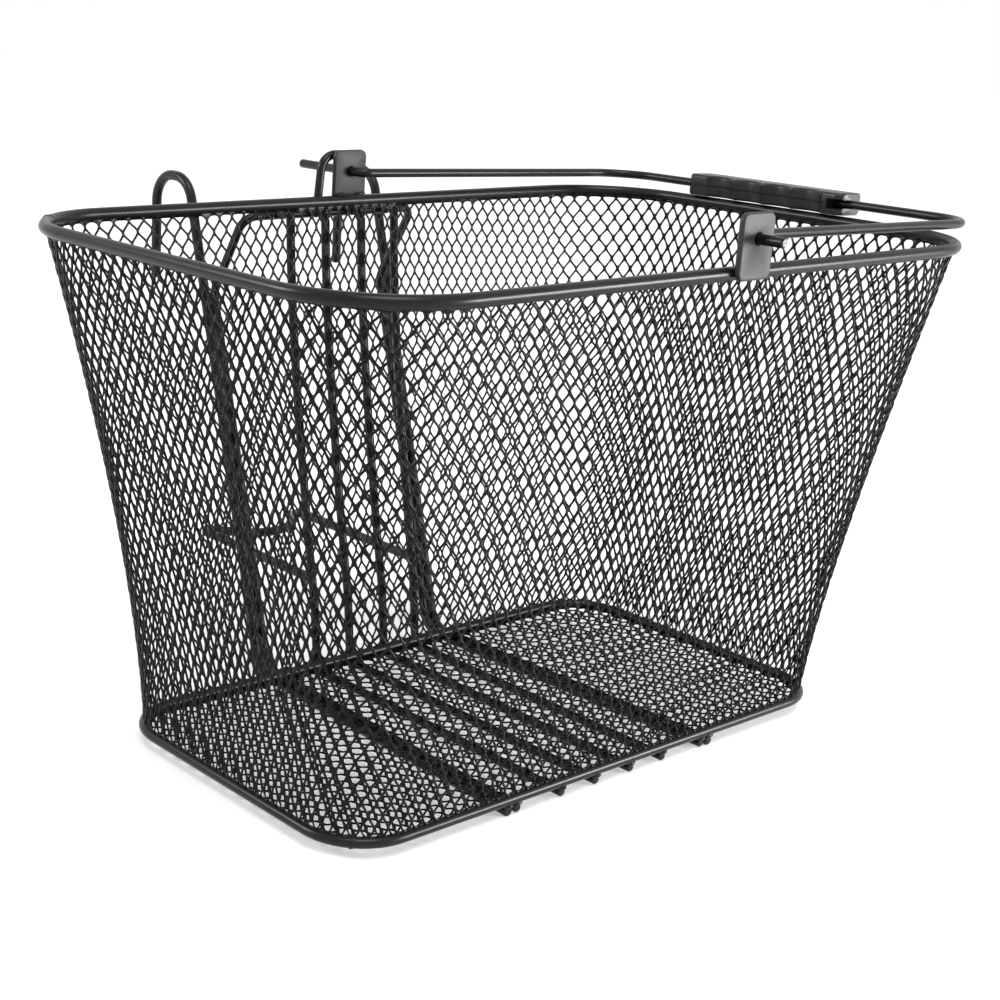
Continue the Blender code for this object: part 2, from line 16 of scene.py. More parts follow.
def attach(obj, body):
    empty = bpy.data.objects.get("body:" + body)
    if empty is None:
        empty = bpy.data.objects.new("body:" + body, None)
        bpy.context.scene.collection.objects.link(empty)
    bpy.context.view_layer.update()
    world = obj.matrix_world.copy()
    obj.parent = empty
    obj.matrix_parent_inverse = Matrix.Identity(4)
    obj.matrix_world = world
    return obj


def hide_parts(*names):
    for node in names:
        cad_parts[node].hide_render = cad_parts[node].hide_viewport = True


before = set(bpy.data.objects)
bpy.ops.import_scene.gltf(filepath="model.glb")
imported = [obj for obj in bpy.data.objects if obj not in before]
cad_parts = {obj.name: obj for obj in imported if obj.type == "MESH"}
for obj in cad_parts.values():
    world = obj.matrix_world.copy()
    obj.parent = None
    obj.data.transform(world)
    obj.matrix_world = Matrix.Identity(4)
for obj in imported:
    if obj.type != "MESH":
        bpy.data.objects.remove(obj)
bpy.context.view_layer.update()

# Rims: lengths, widths and corner radii at the centre of the rod, in metres
TOP = (0.37, 0.2343, 0.0476)
BOTTOM = (0.2981, 0.1607, 0.027)
TOP_ROD = 0.0055
BOTTOM_ROD = 0.0048
BOTTOM_Z = 0.007317
TOP_Z = 0.226117
FLARE = 1.45
SHIFT = Vector((-0.0047, -0.03003, 0))

# Support wires
FRAME_WIRE = 0.0042
HOOK_WIRE = 0.0048
SEAM_GAP = 0.0003
CENTRE_RIB_X = 0.0111
OUTER_RIB_X = 0.0322
FRAME_X = 0.0525
HOOK_X = 0.0578
FRAME_FRONT_X = 0.0587
HOOK_FRONT_X = 0.064
FRONT_OVERHANG = 0.0008
FRONT_END_Y = -(BOTTOM[1] + 2 * FRONT_OVERHANG) / 2

# Expanded metal
STRAND_REACH = 0.0065
STRAND_WIDTH = 0.00092
FLOOR_STRAND_WIDTH = 0.0017
STRAND_DEPTH = 0.0009
STRAND_LEAN = 0.62
JOINT_REACH = 0.0005
JOINT_WIDTH = 0.0015
LONG_SIDE_CELLS = 51
SHORT_SIDE_CELLS = 29
COLUMN_SPREAD = 0.42
SPREAD_REACH = 0.7
FLOOR_PITCH = 0.0066
FLOOR_Z = 0.00575
SPARE_ROWS = 6
HEIGHT_STEPS = 90
WIDTH_STEPS = 400
ROW_BLUR = range(-8, 9)

# Fullness of the long walls, which stand out past the corners' flare between the rims
FULL_POWER = 1.3
FULL_EDGE_POWER = 0.6
TOP_INSET = 0.0016

# One opening: how its outline and the section of its strands are rounded
RING_POINTS = 16
STRAND_SHARES = (1 / 3, 2 / 3)
CORNER_ROUND = 0.00014
TIP_ROUND = 0.0002
CROWN_SHARE = 0.66
CROWN_DEPTH = 0.86
RIM_SOFTNESS = 0.0005
WELD_LIP = 0.0004
SMALLEST_OPENING = 0.0011
SLIVER = 0.02
PULL_TURNS = 3
TINY = 1e-9

# Numbering of the points that openings share: a node's joint, then the strands that climb from it
KEYS_PER_COLUMN = 1000
KEYS_PER_NODE = 8


def place(x, y, z):
    """A point given about the middle of the rims, in the row frame."""
    return Vector((x, y, z)) + SHIFT


# Materials


def new_material(name):
    material = bpy.data.materials.new(name)
    material.use_nodes = True
    nodes = material.node_tree.nodes
    return material, nodes, material.node_tree.links, nodes["Principled BSDF"]


def noise_node(nodes, links, coordinates, scale, detail, roughness=0.5):
    noise = nodes.new("ShaderNodeTexNoise")
    noise.inputs["Scale"].default_value = scale
    noise.inputs["Detail"].default_value = detail
    noise.inputs["Roughness"].default_value = roughness
    links.new(coordinates, noise.inputs["Vector"])
    return noise.outputs["Fac"]


def ramp_node(nodes, links, factor, stops):
    ramp = nodes.new("ShaderNodeValToRGB")
    elements = ramp.color_ramp.elements
    for element, (position, colour) in zip(elements, stops):
        element.position = position
        element.color = (*colour, 1)
    links.new(factor, ramp.inputs["Fac"])
    return ramp.outputs["Color"]


def map_node(nodes, links, factor, low, high):
    mapping = nodes.new("ShaderNodeMapRange")
    mapping.inputs["To Min"].default_value = low
    mapping.inputs["To Max"].default_value = high
    links.new(factor, mapping.inputs["Value"])
    return mapping.outputs["Result"]


def bump_node(nodes, links, height, strength, distance, before=None):
    bump = nodes.new("ShaderNodeBump")
    bump.inputs["Strength"].default_value = strength
    bump.inputs["Distance"].default_value = distance
    links.new(height, bump.inputs["Height"])
    if before is not None:
        links.new(before, bump.inputs["Normal"])
    return bump.outputs["Normal"]


def coated_steel(name, dark, light, rough_low, rough_high, peel, shine):
    """Black coating with patchy gloss, and the fine ripple that sprayed coating dries to."""
    material, nodes, links, shader = new_material(name)
    where = nodes.new("ShaderNodeTexCoord").outputs["Object"]
    patches = noise_node(nodes, links, where, scale=60, detail=4, roughness=0.6)
    links.new(ramp_node(nodes, links, patches, [(0.3, dark), (0.75, light)]),
              shader.inputs["Base Color"])
    gloss = noise_node(nodes, links, where, scale=190, detail=3, roughness=0.55)
    links.new(map_node(nodes, links, gloss, rough_low, rough_high), shader.inputs["Roughness"])
    ripple = noise_node(nodes, links, where, scale=900, detail=2)
    drips = noise_node(nodes, links, where, scale=240, detail=2)
    waves = bump_node(nodes, links, drips, strength=peel, distance=0.0006)
    links.new(bump_node(nodes, links, ripple, strength=peel, distance=0.0002, before=waves),
              shader.inputs["Normal"])
    shader.inputs["Specular IOR Level"].default_value = shine
    return material


def moulded_plastic():
    """Satin black plastic with a fine grain and duller, slightly paler rubbed patches."""
    material, nodes, links, shader = new_material("moulded_plastic")
    where = nodes.new("ShaderNodeTexCoord").outputs["Object"]
    rubbed = noise_node(nodes, links, where, scale=110, detail=5, roughness=0.6)
    links.new(ramp_node(nodes, links, rubbed, [(0.35, (0.009, 0.009, 0.0095)),
                                               (0.8, (0.026, 0.026, 0.027))]),
              shader.inputs["Base Color"])
    links.new(map_node(nodes, links, rubbed, low=0.26, high=0.44), shader.inputs["Roughness"])
    grain = noise_node(nodes, links, where, scale=1800, detail=3)
    flow = noise_node(nodes, links, where, scale=160, detail=3)
    waves = bump_node(nodes, links, flow, strength=0.12, distance=0.0005)
    links.new(bump_node(nodes, links, grain, strength=0.22, distance=0.00015, before=waves),
              shader.inputs["Normal"])
    shader.inputs["Specular IOR Level"].default_value = 0.3
    return material


def cut_steel():
    """Sheared wire end whose coating is thin, so that the metal glints through."""
    material, nodes, links, shader = new_material("cut_steel")
    where = nodes.new("ShaderNodeTexCoord").outputs["Object"]
    chips = noise_node(nodes, links, where, scale=1400, detail=3, roughness=0.7)
    links.new(ramp_node(nodes, links, chips, [(0.47, (0.03, 0.03, 0.032)),
                                              (0.62, (0.2, 0.195, 0.19))]),
              shader.inputs["Base Color"])
    links.new(map_node(nodes, links, chips, low=0.25, high=0.5), shader.inputs["Roughness"])
    links.new(bump_node(nodes, links, chips, strength=0.5, distance=0.0002),
              shader.inputs["Normal"])
    shader.inputs["Metallic"].default_value = 0.4
    return material


ROD_COAT = coated_steel(
    "rod_coating", dark=(0.004, 0.004, 0.0042), light=(0.009, 0.009, 0.0095),
    rough_low=0.24, rough_high=0.36, peel=0.03, shine=0.24)
MESH_COAT = coated_steel(
    "mesh_coating", dark=(0.003, 0.0028, 0.003), light=(0.007, 0.0068, 0.0075),
    rough_low=0.2, rough_high=0.32, peel=0.1, shine=0.14)
# Painted shade: the floor mesh has the same black coating as the walls; this darker copy stands in
# for the shade that falls on it inside the basket.
FLOOR_SHADED_COAT = coated_steel(
    "floor_mesh_painted_shade_coating", dark=(0.002, 0.002, 0.0021), light=(0.005, 0.005, 0.0052),
    rough_low=0.28, rough_high=0.42, peel=0.1, shine=0.06)
# Painted sheen: the tabs carry the same black coating as the rods; this lighter base colour stands
# in for the softbox sheen on their faces.
SHEENED_PLATE_COAT = coated_steel(
    "plate_coating_painted_sheen", dark=(0.02, 0.02, 0.022), light=(0.03, 0.03, 0.033),
    rough_low=0.46, rough_high=0.54, peel=0.05, shine=0.34)
GRIP_PLASTIC = moulded_plastic()
CUT_STEEL = cut_steel()


# Pieces


def add_piece(name, points, faces, material, body, replaced=(), smooth=math.radians(40)):
    """A mesh piece in the row frame that rides on a body and stands for CAD nodes."""
    mesh = bpy.data.meshes.new(name)
    mesh.from_pydata([tuple(point) for point in points], [], faces)
    mesh.update()
    piece = bpy.data.objects.new(name, mesh)
    bpy.context.scene.collection.objects.link(piece)
    mesh.materials.append(material)
    mesh.shade_smooth()
    mesh.set_sharp_from_angle(angle=smooth)
    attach(piece, body)
    if replaced:
        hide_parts(*replaced)
    return piece


def ring_faces(total, sides, closed):
    """Faces between rings of equal size; closed joins the last ring to the first."""
    faces = []
    for ring in range(total if closed else total - 1):
        here, there = ring * sides, (ring + 1) % total * sides
        for corner in range(sides):
            beside = (corner + 1) % sides
            faces.append((here + corner, here + beside, there + beside, there + corner))
    return faces


def lofted(rings, closed=False):
    """Points and faces of a skin over rings of equal size."""
    points = [point for ring in rings for point in ring]
    return points, ring_faces(len(rings), len(rings[0]), closed)


# Round wires

ARC_STEPS = 12
WIRE_SIDES = 20
END_ROUND = 0.0006


def rounded_path(corners, closed=False):
    """Path through corners given as (x, y, z, bend radius)."""
    path = []
    count = len(corners)
    for index, corner in enumerate(corners):
        point = Vector(corner[:3])
        radius = corner[3]
        is_end = not closed and index in (0, count - 1)
        if is_end or radius == 0:
            path.append(point)
            continue
        before = (Vector(corners[index - 1][:3]) - point).normalized()
        after = (Vector(corners[(index + 1) % count][:3]) - point).normalized()
        half_angle = before.angle(after) / 2
        centre = point + (before + after).normalized() * radius / math.sin(half_angle)
        start = point + before * radius / math.tan(half_angle) - centre
        axis = start.cross(point + after * radius / math.tan(half_angle) - centre)
        turn = math.pi - 2 * half_angle
        for step in range(ARC_STEPS + 1):
            path.append(centre + Matrix.Rotation(turn * step / ARC_STEPS, 3, axis) @ start)
    return path


def tube(path, diameter, closed):
    """Points and faces of a round wire along a path, its ends slightly rounded."""
    count = len(path)
    spans = count if closed else count - 1
    directions = [(path[(k + 1) % count] - path[k]).normalized() for k in range(spans)]
    frames = [directions[0].orthogonal().normalized()]
    for previous, following in zip(directions, directions[1:]):
        frames.append(previous.rotation_difference(following) @ frames[-1])
    rings = []
    for index, point in enumerate(path):
        arriving = directions[index - 1] if closed or index > 0 else directions[0]
        span = min(index, spans - 1)
        leaving = directions[span]
        mitre = (arriving + leaving).normalized()
        u = frames[span]
        v = leaving.cross(u)
        rings.append((point, leaving, mitre, u, v, diameter / 2))
    if not closed:
        start, end = rings[0], rings[-1]
        inner = diameter / 2 - END_ROUND
        rings[0] = (start[0] + start[1] * END_ROUND, *start[1:])
        rings[-1] = (end[0] - end[1] * END_ROUND, *end[1:])
        rings.insert(0, (start[0], *start[1:5], inner))
        rings.append((end[0], *end[1:5], inner))
    points = []
    for point, leaving, mitre, u, v, radius in rings:
        for corner in range(WIRE_SIDES):
            angle = 2 * math.pi * corner / WIRE_SIDES
            offset = (u * math.cos(angle) + v * math.sin(angle)) * radius
            points.append(point + offset - leaving * offset.dot(mitre) / leaving.dot(mitre))
    total = len(rings)
    faces = ring_faces(total, WIRE_SIDES, closed)
    if not closed:
        faces.append(tuple(reversed(range(WIRE_SIDES))))
        faces.append(tuple(range((total - 1) * WIRE_SIDES, total * WIRE_SIDES)))
    return points, faces


def add_wire(name, corners, diameter, replaced, closed=False, body="basket"):
    """A coated wire through corners given about the middle of the rims."""
    shifted = [(*place(*corner[:3]), corner[3]) for corner in corners]
    points, faces = tube(rounded_path(shifted, closed), diameter, closed)
    return add_piece(name, points, faces, ROD_COAT, body, replaced)


def rim_corners(sizes, height):
    length, width, corner = sizes
    return [
        (x_sign * length / 2, y_sign * width / 2, height, corner)
        for x_sign, y_sign in ((1, -1), (1, 1), (-1, 1), (-1, -1))
    ]


# Walls


def flare(share):
    return max(share, 0) ** FLARE


def wall_height(share):
    low = BOTTOM_Z + BOTTOM_ROD / 2 + SEAM_GAP
    high = TOP_Z - TOP_ROD / 2 - SEAM_GAP
    return low + (high - low) * share


def share_at(height):
    return (height - wall_height(0)) / (wall_height(1) - wall_height(0))


def fullness(share):
    """How far the middle of a long wall stands outside the corners' flare."""
    share = min(max(share, 0), 1)
    swell = 1 - (1 - share) ** FULL_POWER - flare(share)
    return (TOP[1] - BOTTOM[1]) / 2 * swell - TOP_INSET * share ** 3


def rear_wall_y(share):
    return (BOTTOM[1] + (TOP[1] - BOTTOM[1]) * flare(share)) / 2 + fullness(share)


def side_outline(shares, sizes, side):
    """Points at shares along one side, from the middle of one corner to the next."""
    length, width, corner = sizes if side % 2 == 0 else (sizes[1], sizes[0], sizes[2])
    straight = length - 2 * corner
    arc = corner * math.pi / 4
    turn = Matrix.Rotation(side * math.pi / 2, 2)
    points = []
    for share in shares:
        along = share * (straight + 2 * arc)
        from_end = min(along, straight + 2 * arc - along)
        angle = 0
        middle = along - arc - straight / 2
        if from_end < arc:
            angle = math.copysign(math.pi / 4 * (1 - from_end / arc), middle)
            middle = math.copysign(straight / 2, middle)
        x = middle + corner * math.sin(angle)
        y = corner - width / 2 - corner * math.cos(angle)
        points.append(turn @ Vector((x, y)))
    return points


def column_shares(cells, spread):
    """Shares along a side of its half columns, closer together towards the middle."""
    along = (np.arange(WIDTH_STEPS) + 0.5) / WIDTH_STEPS
    ease = np.clip(np.abs(2 * along - 1) / SPREAD_REACH, 0, 1)
    ease = ease * ease * (3 - 2 * ease)
    density = 1 / (1 + spread * ease)
    total = np.concatenate([[0], np.cumsum(density)])
    return np.interp(np.arange(2 * cells) / (2 * cells), total / total[-1],
                     np.linspace(0, 1, WIDTH_STEPS + 1))


class Lattice:
    """Where the nodes of the walls' expanded metal lie."""

    def __init__(self):
        self.strand_width = STRAND_WIDTH
        self.starts = [0]
        top, bottom, full = [], [], []
        for side in range(4):
            is_long = side % 2 == 0
            cells = LONG_SIDE_CELLS if is_long else SHORT_SIDE_CELLS
            shares = column_shares(cells, COLUMN_SPREAD if is_long else 0)
            top += side_outline(shares, TOP, side)
            bottom += side_outline(column_shares(cells, 0), BOTTOM, side)
            outward = (side - 1) * is_long
            full.append(outward * np.abs(np.sin(math.pi * shares)) ** FULL_EDGE_POWER)
            self.starts.append(self.starts[-1] + 2 * cells)
        self.columns = self.starts[-1]
        self.top = np.array([tuple(point) for point in top])
        self.bottom = np.array([tuple(point) for point in bottom])
        self.full = np.concatenate(full)
        self.place_nodes()

    def ring(self, height):
        """All half columns at one height."""
        share = (height - BOTTOM_Z) / (TOP_Z - BOTTOM_Z)
        flat = self.bottom + (self.top - self.bottom) * flare(share)
        flat[:, 1] += self.full * fullness(share)
        return np.column_stack([flat, np.full(len(flat), height)])

    def place_nodes(self):
        """Climb each column by strands of one length, so that wide openings are short ones."""
        heights = np.linspace(BOTTOM_Z, TOP_Z + SPARE_ROWS * STRAND_REACH, HEIGHT_STEPS)
        rings = np.array([self.ring(height) for height in heights])
        pitch = np.linalg.norm(np.roll(rings, -1, 1) - np.roll(rings, 1, 1), axis=2)
        half_rise = np.sqrt(STRAND_REACH ** 2 - (pitch / 2) ** 2)
        climb = np.linalg.norm(np.diff(rings, axis=0), axis=2)
        steps = climb * 2 / (half_rise[1:] + half_rise[:-1])
        rows = np.concatenate([np.zeros((1, self.columns)), np.cumsum(steps, axis=0)])
        rows = sum(np.roll(rows, shift, 1) for shift in ROW_BLUR) / len(ROW_BLUR)
        count = int(rows[-1].min())
        self.points = np.zeros((self.columns, count + 1, 3))
        for column in range(self.columns):
            level = np.interp(np.arange(count + 1), rows[:, column], heights)
            for axis in range(3):
                self.points[column, :, axis] = np.interp(level, heights, rings[:, column, axis])
        across = np.roll(self.points, -1, 0) - np.roll(self.points, 1, 0)
        rises = np.gradient(self.points, axis=1)
        normals = np.cross(across, rises)
        self.normals = normals / np.linalg.norm(normals, axis=2, keepdims=True)
        self.rises = rises / np.linalg.norm(rises, axis=2, keepdims=True)

    def sideways(self, normals):
        """Level directions along the wall, square to its normals."""
        return np.cross((0, 0, 1), normals)

    def cells(self, first, last):
        """Column and row of each opening from one half column to another."""
        rows = self.points.shape[1] - 2
        found = [(column, row) for column in range(first, last) for row in range(1, rows + 1)
                 if (column + row) % 2]
        return np.array(found)

    def hold_sheet(self, points, upward):
        """Slide points along the wall so that the sheet ends inside the rims."""
        heights = points[..., 2]
        held = np.clip(heights, BOTTOM_Z, TOP_Z)
        return slide(points, upward, (held - heights) * (1 - SLIVER))

    def hold_opening(self, points, upward):
        """Slide points along the wall so that openings stop short of the rims, rounded."""
        heights = points[..., 2]
        highest = TOP_Z - TOP_ROD / 2 - WELD_LIP
        lowest = BOTTOM_Z + BOTTOM_ROD / 2 + WELD_LIP
        held = soft_limit(heights, highest)
        held = -soft_limit(-held, -lowest)
        return slide(points, upward, held - heights)

    def is_open(self, edge):
        spread = edge[..., 2].max(1) - edge[..., 2].min(1)
        return spread > SMALLEST_OPENING

    def is_kept(self, nodes):
        heights = nodes[..., 2]
        return (heights.min(1) < TOP_Z) & (heights.max(1) > BOTTOM_Z)


def slide(points, upward, rise):
    return points + upward * (rise / upward[..., 2])[..., None]


def soft_limit(values, limit):
    """Values, kept under a limit by an even curve."""
    return limit - RIM_SOFTNESS * np.logaddexp(0, (limit - values) / RIM_SOFTNESS)


class FloorLattice:
    """Where the nodes of the floor's expanded metal lie, the long way of the openings on Y."""

    def __init__(self):
        self.strand_width = FLOOR_STRAND_WIDTH
        rise = math.sqrt(STRAND_REACH ** 2 - (FLOOR_PITCH / 2) ** 2)
        self.half_columns = math.ceil(BOTTOM[0] / FLOOR_PITCH) + 1
        self.half_rows = math.ceil(BOTTOM[1] / (2 * rise)) + 1
        xs = (np.arange(2 * self.half_columns + 1) - self.half_columns) * FLOOR_PITCH / 2
        ys = (np.arange(2 * self.half_rows + 1) - self.half_rows) * rise
        self.points = np.zeros((len(xs), len(ys), 3))
        self.points[..., 0] = xs[:, None]
        self.points[..., 1] = ys[None, :]
        self.points[..., 2] = FLOOR_Z
        self.normals = np.zeros_like(self.points)
        self.normals[..., 2] = 1
        self.rises = np.zeros_like(self.points)
        self.rises[..., 1] = 1
        self.columns = len(xs)

    def sideways(self, normals):
        return np.broadcast_to((1.0, 0.0, 0.0), normals.shape)

    def cells(self):
        columns, rows = self.points.shape[:2]
        found = [(column, row) for column in range(1, columns - 1) for row in range(1, rows - 1)
                 if (column + row) % 2]
        return np.array(found)

    def hold_sheet(self, points, upward):
        return pull_inside(points, 0)

    def hold_opening(self, points, upward):
        return pull_inside(points, BOTTOM_ROD / 2 + WELD_LIP)

    def is_open(self, edge):
        x, y = edge[..., 0], edge[..., 1]
        area = (x * np.roll(y, -1, 1) - np.roll(x, -1, 1) * y).sum(1) / 2
        return area > SMALLEST_OPENING * STRAND_REACH

    def is_kept(self, nodes):
        return outside_by(nodes.mean(1), 0) < STRAND_REACH / 2


def outside_by(points, inset):
    """How far points lie outside the bottom rim's middle line, drawn in by an inset."""
    length, width, corner = BOTTOM
    dx = np.abs(points[..., 0]) - (length / 2 - corner)
    dy = np.abs(points[..., 1]) - (width / 2 - corner)
    far = np.hypot(np.maximum(dx, 0), np.maximum(dy, 0)) + np.minimum(np.maximum(dx, dy), 0)
    return far - corner + inset


def pull_inside(points, inset):
    """Pull points that lie past the rim back towards the middle of the floor."""
    length, width, corner = BOTTOM
    held = points.copy()
    for turn in range(PULL_TURNS):
        excess = np.maximum(outside_by(held, inset), 0) * (1 - SLIVER)
        dx = np.maximum(np.abs(held[..., 0]) - (length / 2 - corner), 0)
        dy = np.maximum(np.abs(held[..., 1]) - (width / 2 - corner), 0)
        far = np.maximum(np.hypot(dx, dy), TINY)
        held[..., 0] -= np.sign(held[..., 0]) * excess * dx / far
        held[..., 1] -= np.sign(held[..., 1]) * excess * dy / far
    return held


def ring_shapes(half_width, half_height, strand_width):
    """Flat coordinates round each opening of its strands' middles and of its edge.

    Upright joints at the left and right, and slanting strands between them and the tips.
    """
    rise = half_height - 2 * JOINT_REACH
    length = np.hypot(half_width, rise)
    step_x = strand_width / 2 * rise / length
    step_y = strand_width / 2 * half_width / length
    joint = np.full_like(length, (JOINT_WIDTH + strand_width - STRAND_WIDTH) / 2)
    zero = np.zeros_like(length)
    spine = [(half_width, zero), (half_width, zero + JOINT_REACH)]
    run = (joint - step_x) / half_width
    corner = JOINT_REACH - step_y + rise * run - CORNER_ROUND
    edge = [(half_width - joint, zero), (half_width - joint - CORNER_ROUND, corner)]
    for share in STRAND_SHARES:
        x, y = half_width * (1 - share), JOINT_REACH + rise * share
        spine.append((x, y))
        edge.append((x - step_x, y - step_y))
    spine.append((zero, half_height - JOINT_REACH))
    tip = strand_width / 2 * length / half_width + TIP_ROUND
    edge.append((zero, half_height - JOINT_REACH - tip))
    rings = []
    for quarter in (spine, edge):
        left = [(-x, y) for x, y in quarter[-2::-1]]
        upper = quarter + left
        lower = [(x, -y) for x, y in upper[-2:0:-1]]
        rings.append(np.array(upper + lower).transpose(2, 0, 1))
    return rings


def net_mesh(lattice, cells):
    """Closed skin of the openings in cells: points and faces."""
    column, row = cells[:, 0], cells[:, 1]
    wrap = lattice.columns
    offsets = ((1, 0), (0, 1), (-1, 0), (0, -1))
    corners = np.stack([lattice.points[(column + dx) % wrap, row + dy] for dx, dy in offsets], 1)
    kept = lattice.is_kept(corners)
    column, row, corners = column[kept], row[kept], corners[kept]
    nodes = [((column + dx) % wrap, row + dy) for dx, dy in offsets]
    across = corners[:, 0] - corners[:, 2]
    upward = corners[:, 1] - corners[:, 3]
    half_width = np.linalg.norm(across, axis=1) / 2
    half_height = np.linalg.norm(upward, axis=1) / 2
    across = across / (2 * half_width[:, None])
    upward = upward / (2 * half_height[:, None])
    spine_flat, edge_flat = ring_shapes(half_width, half_height, lattice.strand_width)

    def joint(corner, end):
        """Middle (0), upper end (1) or lower end (-1) of the joint at a corner."""
        at = nodes[corner]
        spot = lattice.points[at] + lattice.rises[at] * (JOINT_REACH * end)
        key = (at[0] * KEYS_PER_COLUMN + at[1]) * KEYS_PER_NODE + (0, 1, 2)[end]
        return spot, lattice.normals[at], np.zeros(len(column)), key

    def strand(lower, upper, share, leans_right):
        """A point along the strand that climbs from one joint to the next."""
        low_end, high_end = joint(lower, 1), joint(upper, -1)
        swing = -math.cos(math.pi * share) * lattice.strand_width / 2
        swing = swing if leans_right else -swing
        key = low_end[3] - 1 + (3 if leans_right else 5) + (share > 0.5)
        return (low_end[0] * (1 - share) + high_end[0] * share,
                low_end[1] * (1 - share) + high_end[1] * share,
                np.full(len(column), swing), key)

    right, top, left, bottom = range(4)
    near, far = STRAND_SHARES
    outline = [
        joint(right, 0), joint(right, 1),
        strand(right, top, near, False), strand(right, top, far, False), joint(top, -1),
        strand(left, top, far, True), strand(left, top, near, True),
        joint(left, 1), joint(left, 0), joint(left, -1),
        strand(bottom, left, far, False), strand(bottom, left, near, False), joint(bottom, 1),
        strand(bottom, right, near, True), strand(bottom, right, far, True), joint(right, -1),
    ]
    middle, normal, wave, keys = (np.stack(values, 1) for values in zip(*outline))
    normal = normal / np.linalg.norm(normal, axis=2, keepdims=True)

    def skin(flat, depth, hold):
        """Ring of points at flat coordinates, a signed depth off the middle of the sheet."""
        shift = flat - spine_flat
        swing = (wave - shift[..., 0]) * STRAND_LEAN
        points = (middle + across[:, None] * shift[..., :1] + upward[:, None] * shift[..., 1:]
                  + normal * swing[..., None])
        tilted = normal + lattice.sideways(normal) * STRAND_LEAN
        tilted = tilted / np.linalg.norm(tilted, axis=2, keepdims=True)
        return hold(points + tilted * depth, upward[:, None])

    crown_flat = spine_flat + (edge_flat - spine_flat) * CROWN_SHARE
    half = STRAND_DEPTH / 2
    spine_out = skin(spine_flat, half, lattice.hold_sheet)
    spine_in = skin(spine_flat, -half, lattice.hold_sheet)
    edge = skin(edge_flat, 0, lattice.hold_opening)
    crown_out = skin(crown_flat, half * CROWN_DEPTH, lattice.hold_opening)
    crown_in = skin(crown_flat, -half * CROWN_DEPTH, lattice.hold_opening)
    is_open = lattice.is_open(edge)

    unique, first, inverse = np.unique(keys.ravel(), return_index=True, return_inverse=True)
    spine_id = inverse.reshape(keys.shape)
    count = len(unique)
    points = [spine_out.reshape(-1, 3)[first], spine_in.reshape(-1, 3)[first]]
    inner_id = spine_id + count
    opened = np.flatnonzero(is_open)
    size = len(opened) * RING_POINTS
    for ring in (crown_out, crown_in, edge):
        points.append(ring[opened].reshape(-1, 3))
    ring_id = np.arange(size).reshape(-1, RING_POINTS) + 2 * count
    out_id, in_id, edge_id = ring_id, ring_id + size, ring_id + 2 * size

    def band(outer, inner):
        return np.stack([outer, np.roll(outer, -1, 1), np.roll(inner, -1, 1), inner], -1)

    quads = [
        band(spine_id[opened], out_id), band(out_id, edge_id),
        band(edge_id, in_id), band(in_id, inner_id[opened]),
    ]
    faces = np.concatenate([quad.reshape(-1, 4) for quad in quads]).tolist()
    filled = np.flatnonzero(~is_open)
    faces += spine_id[filled].tolist()
    faces += inner_id[filled][:, ::-1].tolist()
    starts = spine_id.ravel()
    ends = np.roll(spine_id, -1, 1).ravel()
    used = set(zip(starts.tolist(), ends.tolist()))
    for start, end in zip(starts.tolist(), ends.tolist()):
        if (end, start) not in used:
            faces.append([end, start, start + count, end + count])
    return np.concatenate(points), faces


def add_net(name, lattice, cells, replaced, material):
    points, faces = net_mesh(lattice, cells)
    points = points + np.array(SHIFT)
    add_piece(name, points.tolist(), faces, material, "basket", replaced, smooth=math.pi)


def add_walls():
    lattice = Lattice()
    for side, name in enumerate(("front_mesh", "right_mesh", "rear_mesh", "left_mesh")):
        first, last = lattice.starts[side], lattice.starts[side + 1]
        if side % 2:
            add_net(name + "_sheet", lattice, lattice.cells(first, last), [name], MESH_COAT)
            continue
        middle = (first + last) // 2
        for half, start, end in (("_sheet_a", first, middle), ("_sheet_b", middle, last)):
            add_net(name + half, lattice, lattice.cells(start, end), [name], MESH_COAT)


def add_floor():
    lattice = FloorLattice()
    add_net("floor_mesh_sheet", lattice, lattice.cells(), ["floor_mesh"], FLOOR_SHADED_COAT)


# Support frame: the routes of the CAD wires, drawn along the fuller rear wall

HOOK_TOP_ABOVE_RIM = 0.0074
HOOK_LEG_OUT = 0.0757
HOOK_LEG_BELOW_RIM = 0.0439
HOOK_BEND = 0.0135
STEM_TOP_OUT = 0.0467
STEM_FOOT_OUT = 0.0185
STEM_BEND = 0.0127
STRUT_DROP = 0.0455
STRUT_BEND = 0.0074
BAR_OUT = 0.0109
BAR_DROP = 0.0066
CRADLE_HEIGHT = 0.0407
CRADLE_REACH = 0.1882
CRADLE_DIP = 0.0359
CRADLE_TUBE_BEND = 0.0233
CRADLE_CORNER_BEND = 0.0032
RIB_START_SHARE = 0.12
RIB_SPANS = 8
RIB_TOP_BELOW_RIM = 0.0044
LOOP_KINK_FOOT = 0.0095
LOOP_KINK_TOP = 0.0026
LOOP_ABOVE_RIM = 0.0211
LOOP_TOP_X = 0.009
LOOP_BEND = 0.008
WALL_DEPTH = 0.0017
HOOK_FLOOR_Z = HOOK_WIRE / 2
FRAME_FLOOR_Z = BOTTOM_Z - BOTTOM_ROD / 2 - SEAM_GAP - FRAME_WIRE / 2
RIB_STANDOFF = BOTTOM_ROD / 2 + SEAM_GAP + FRAME_WIRE / 2


def mirrored(left):
    return left + [(-x, y, z, radius) for x, y, z, radius in reversed(left)]


def rib_corners(x, top_share):
    clear = WALL_DEPTH / 2 + SEAM_GAP + FRAME_WIRE / 2
    corners = [
        (x, FRONT_END_Y, FRAME_FLOOR_Z, 0),
        (x, BOTTOM[1] / 2 + RIB_STANDOFF, FRAME_FLOOR_Z, RIB_STANDOFF),
    ]
    for step in range(RIB_SPANS + 1):
        share = RIB_START_SHARE + (top_share - RIB_START_SHARE) * step / RIB_SPANS
        corners.append((x, rear_wall_y(share) + clear, wall_height(share), 0))
    return corners


